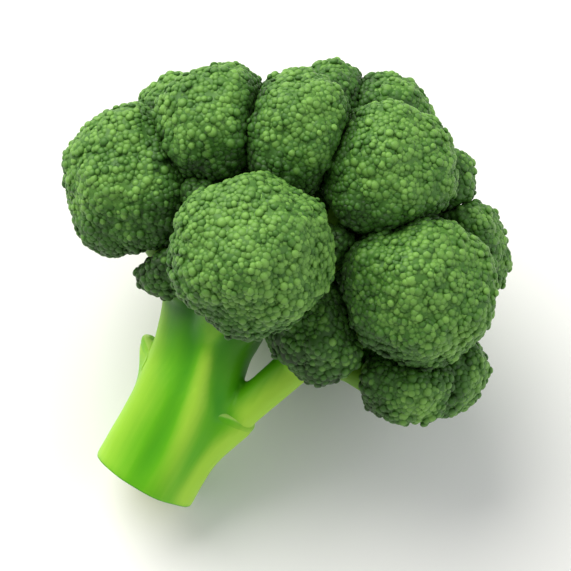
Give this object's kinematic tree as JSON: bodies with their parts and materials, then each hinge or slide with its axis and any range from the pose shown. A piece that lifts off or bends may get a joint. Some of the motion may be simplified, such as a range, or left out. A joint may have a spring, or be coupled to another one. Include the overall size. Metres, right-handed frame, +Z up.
{
  "type": "broccoli head",
  "caption": "Fresh broccoli head lying on its side: a domed crown of tight green florets on pale branches and a thick ribbed stalk with a square cut end and trimmed leaf stubs.",
  "frame": {"origin": "middle of the footprint, on the surface that the head lies on", "axes": "+Z up; the stalk points to -X and -Y with its cut end on the surface, and the crown to +X, +Y and up"},
  "size_m": [0.1426, 0.1336, 0.128],
  "materials": {
    "flower_buds": "tight unopened flower buds, matte mid green with a thin pale bloom of wax, darker down in the creases",
    "stalk_skin": "smooth moist yellow-green plant skin, slightly see-through, with soft ribs",
    "cut_leaf_stalk": "smooth green leaf stalk, pale and matt where it was cut"
  },
  "bodies": {
    "root": {"branch_back": "stalk_skin", "branch_back_left": "stalk_skin", "branch_back_right": "stalk_skin", "branch_front": "stalk_skin", "branch_left": "stalk_skin", "branch_lower_left": "stalk_skin", "branch_lower_right": "stalk_skin", "branch_middle_left": "stalk_skin", "branch_middle_right": "stalk_skin", "branch_outer_left": "stalk_skin", "branch_outer_lower_right": "stalk_skin", "branch_outer_right": "stalk_skin", "branch_rear_right": "stalk_skin", "branch_right": "stalk_skin", "branch_right_limb": "stalk_skin", "branch_right_shoulder": "stalk_skin", "branch_top_left": "stalk_skin", "branch_top_right": "stalk_skin", "branch_under_back": "stalk_skin", "branch_under_right": "stalk_skin", "branch_upper_back": "stalk_skin", "branch_upper_back_right": "stalk_skin", "branch_upper_left": "stalk_skin", "branch_upper_middle": "stalk_skin", "branch_upper_right": "stalk_skin", "floret_back": "flower_buds", "floret_back_left": "flower_buds", "floret_back_right": "flower_buds", "floret_front": "flower_buds", "floret_left": "flower_buds", "floret_lower_left": "flower_buds", "floret_lower_right": "flower_buds", "floret_middle_left": "flower_buds", "floret_middle_right": "flower_buds", "floret_outer_left": "flower_buds", "floret_outer_lower_right": "flower_buds", "floret_outer_right": "flower_buds", "floret_rear_right": "flower_buds", "floret_right": "flower_buds", "floret_right_shoulder": "flower_buds", "floret_top_left": "flower_buds", "floret_top_right": "flower_buds", "floret_under_back": "flower_buds", "floret_under_right": "flower_buds", "floret_upper_back": "flower_buds", "floret_upper_back_right": "flower_buds", "floret_upper_left": "flower_buds", "floret_upper_middle": "flower_buds", "floret_upper_right": "flower_buds", "leaf_stub_left": "cut_leaf_stalk", "leaf_stub_right": "cut_leaf_stalk", "stalk": "stalk_skin"}
  },
  "joints": []
}
